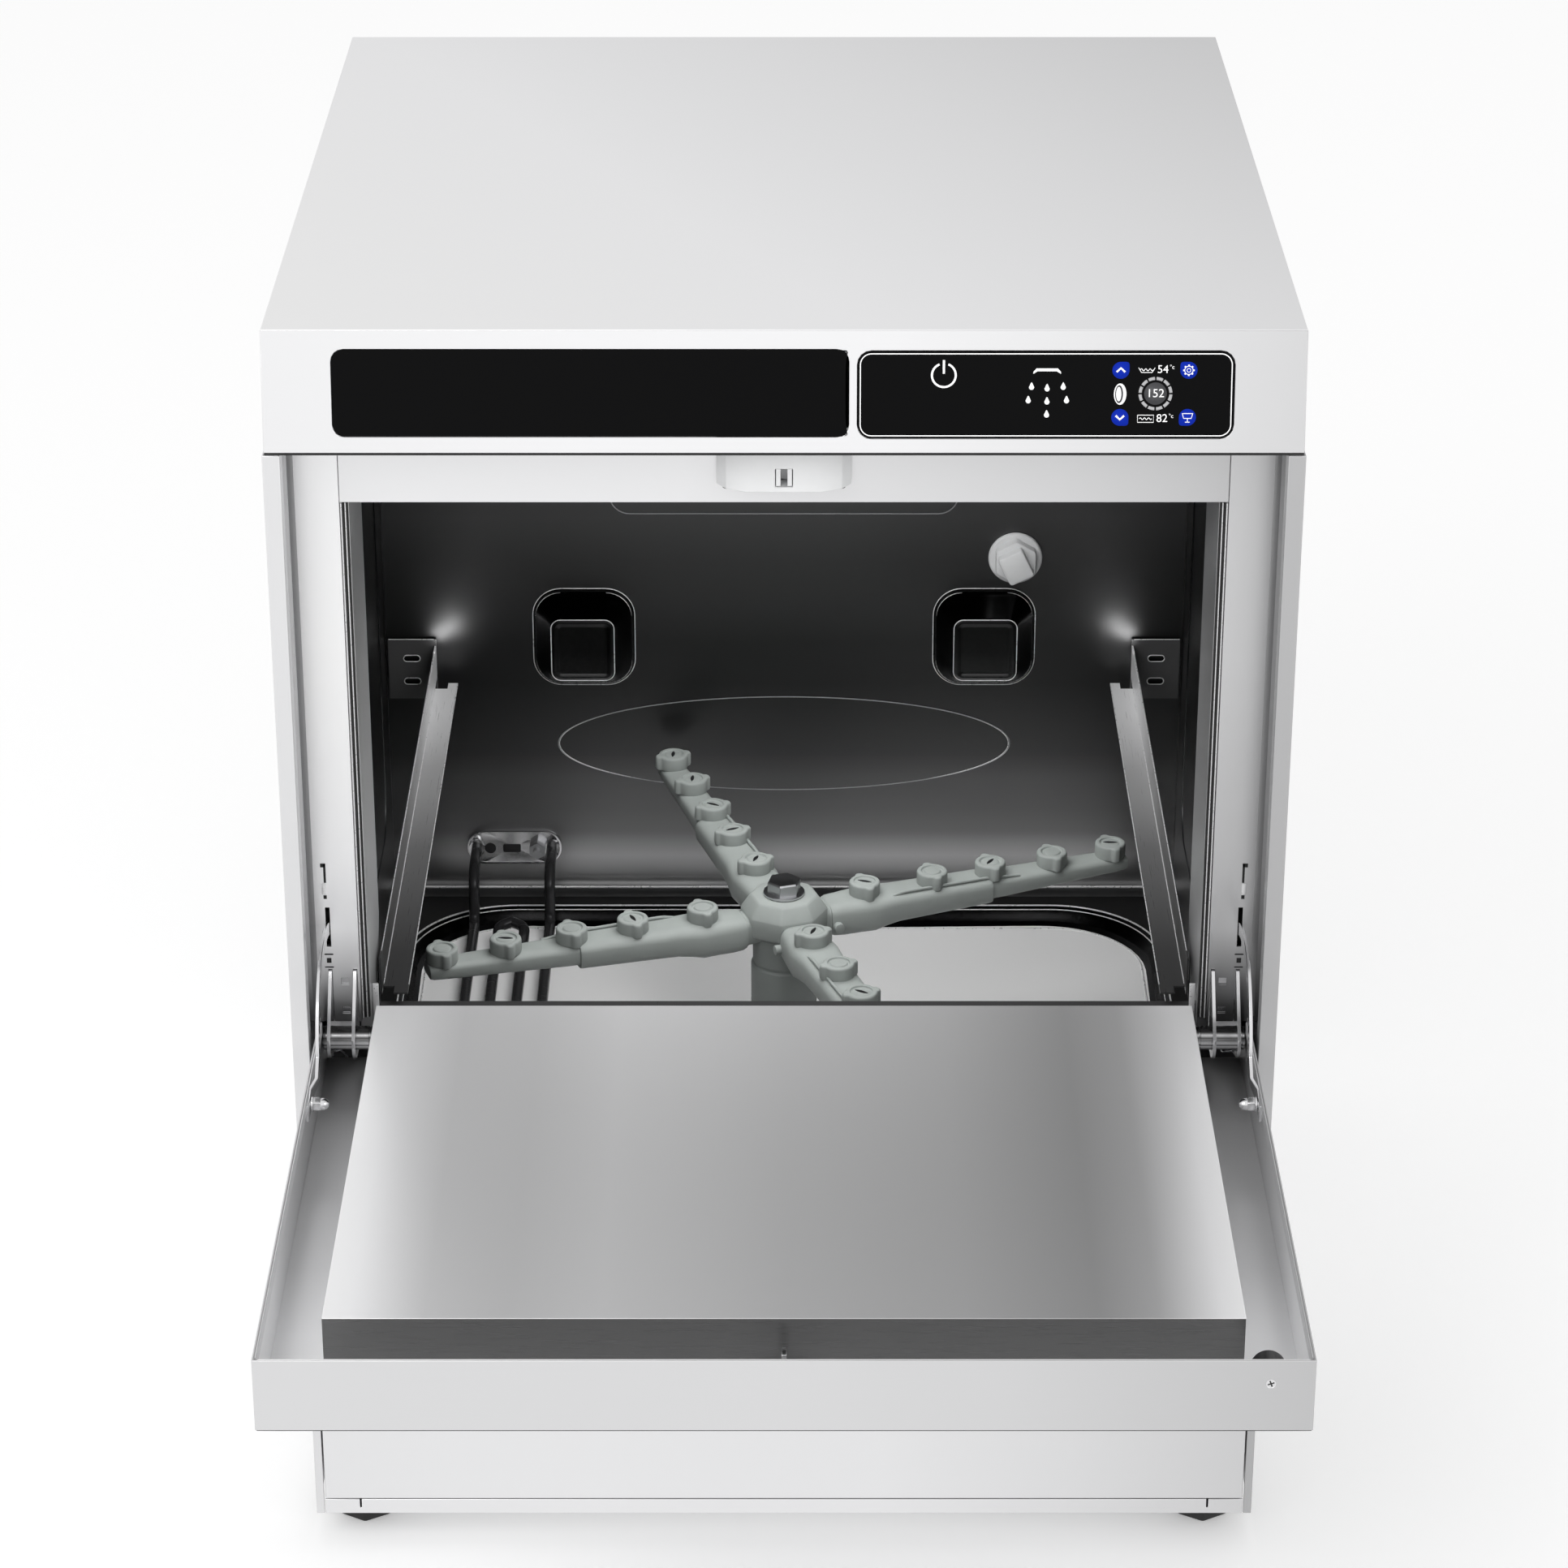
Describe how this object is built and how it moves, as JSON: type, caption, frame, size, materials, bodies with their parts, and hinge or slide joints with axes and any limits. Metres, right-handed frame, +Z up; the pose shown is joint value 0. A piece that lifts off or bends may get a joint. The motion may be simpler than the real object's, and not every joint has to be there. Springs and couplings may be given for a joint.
{
  "type": "glass washer machine",
  "caption": "Front-loading undercounter glass washer with a drop-down door, stainless chamber, rotating wash arms, tank heater and a sloping touch-control fascia.",
  "frame": {"origin": "on the floor under the middle of the machine with its door open: midway between the side panels, and midway between the open door's front edge and the back panel", "axes": "+X to the machine's right seen from the front, +Y from the front to the back, +Z up"},
  "size_m": [0.6, 0.986, 0.82],
  "materials": {
    "stainless": "fine brushed stainless sheet, satin",
    "chamber_steel": "polished stainless sheet, semi-gloss",
    "galvanised": "zinc-coated sheet and bright fasteners",
    "black_glass": "black back-printed glass, gloss",
    "nozzle_plastic": "moulded grey polypropylene, matt",
    "column_plastic": "moulded grey polypropylene, matt",
    "light_plastic": "moulded pale grey plastic, satin",
    "black_plastic": "black moulded plastic",
    "foot_rubber": "black rubber",
    "heater_steel": "dark oxidised heater sheath",
    "spring_steel": "bright spring wire",
    "aluminium": "die-cast aluminium",
    "circuit_board": "green circuit laminate"
  },
  "bodies": {
    "cabinet": {"base_frame": "stainless", "side_panel_left": "stainless", "side_panel_right": "stainless", "top_cover": "stainless", "control_fascia": "stainless", "lower_service_panel": "stainless", "jamb_left": "stainless", "jamb_right": "stainless", "top_rail": "stainless", "tank_sill": "stainless", "rack_rail_left": "stainless", "rack_rail_right": "stainless", "back_panel": "galvanised", "hinge_bracket_left": "galvanised", "hinge_bracket_right": "galvanised", "chamber_back_wall": "chamber_steel", "chamber_side_wall_left": "chamber_steel", "chamber_side_wall_right": "chamber_steel", "chamber_ceiling": "chamber_steel", "wash_tank": "chamber_steel", "tank_strainer": "chamber_steel", "rinse_boiler": "chamber_steel", "fascia_glass": "black_glass", "touch_panel": "black_glass", "control_board": "circuit_board", "foot_front_left": "foot_rubber", "foot_front_right": "foot_rubber", "foot_rear_left": "foot_rubber", "foot_rear_right": "foot_rubber", "rinse_inlet_fitting": "light_plastic", "latch_housing": "light_plastic", "inlet_valve": "light_plastic", "heating_element": "heater_steel", "door_spring_left": "spring_steel", "door_spring_right": "spring_steel", "drain_pump": "black_plastic", "dosing_pump": "black_plastic", "cable_gland": "black_plastic", "arm_column": "column_plastic", "upper_spindle": "column_plastic", "riser_pipe": "column_plastic", "wash_pump": "aluminium"},
    "door": {"door_skin": "stainless", "door_liner": "stainless", "hinge_shaft_left": "chamber_steel", "hinge_shaft_right": "chamber_steel", "door_striker": "chamber_steel", "door_magnet": "black_plastic", "link_bolt_left": "chamber_steel", "link_bolt_right": "chamber_steel"},
    "link_left": {"link_arm_left": "chamber_steel"},
    "link_right": {"link_arm_right": "chamber_steel"},
    "catch": {"latch_catch": "light_plastic"},
    "lower_arms": {"arm_hub": "nozzle_plastic", "hub_bolt": "galvanised", "lower_wash_arm_1": "nozzle_plastic", "lower_wash_arm_2": "nozzle_plastic", "lower_wash_arm_3": "nozzle_plastic", "lower_wash_arm_4": "nozzle_plastic"},
    "upper_arms": {"upper_wash_arm": "nozzle_plastic"}
  },
  "joints": [
    {"name": "door_hinge", "type": "hinge", "parent": "cabinet", "child": "door", "pos_m": [0, -0.0997, 0.3538], "axis": [-1, 0, 0], "range_deg": [0, 90], "deforming": ["door_spring_left", "door_spring_right"]},
    {"name": "link_left_pivot", "type": "hinge", "parent": "door", "child": "link_left", "pos_m": [-0.2834, -0.1965, 0.361], "axis": [-1, 0, 0], "range_deg": [0, 11]},
    {"name": "link_right_pivot", "type": "hinge", "parent": "door", "child": "link_right", "pos_m": [0.2834, -0.1965, 0.361], "axis": [-1, 0, 0], "range_deg": [0, 11]},
    {"name": "latch_catch_slide", "type": "slide", "parent": "cabinet", "child": "catch", "axis": [0, 1, 0], "range_m": [0, 0.0025], "stiffness_N_per_m": 400, "springref_m": -0.001},
    {"name": "lower_arm_spin", "type": "hinge", "parent": "cabinet", "child": "lower_arms", "pos_m": [0, 0.1915, 0.29], "axis": [0, 0, 1], "continuous": true},
    {"name": "upper_arm_spin", "type": "hinge", "parent": "cabinet", "child": "upper_arms", "pos_m": [0, 0.1915, 0.685], "axis": [0, 0, 1], "continuous": true}
  ],
  "couplings": [
    {"joint": "link_left_pivot", "follows": "door_hinge", "ratio": 0.12},
    {"joint": "link_right_pivot", "follows": "door_hinge", "ratio": 0.12}
  ]
}
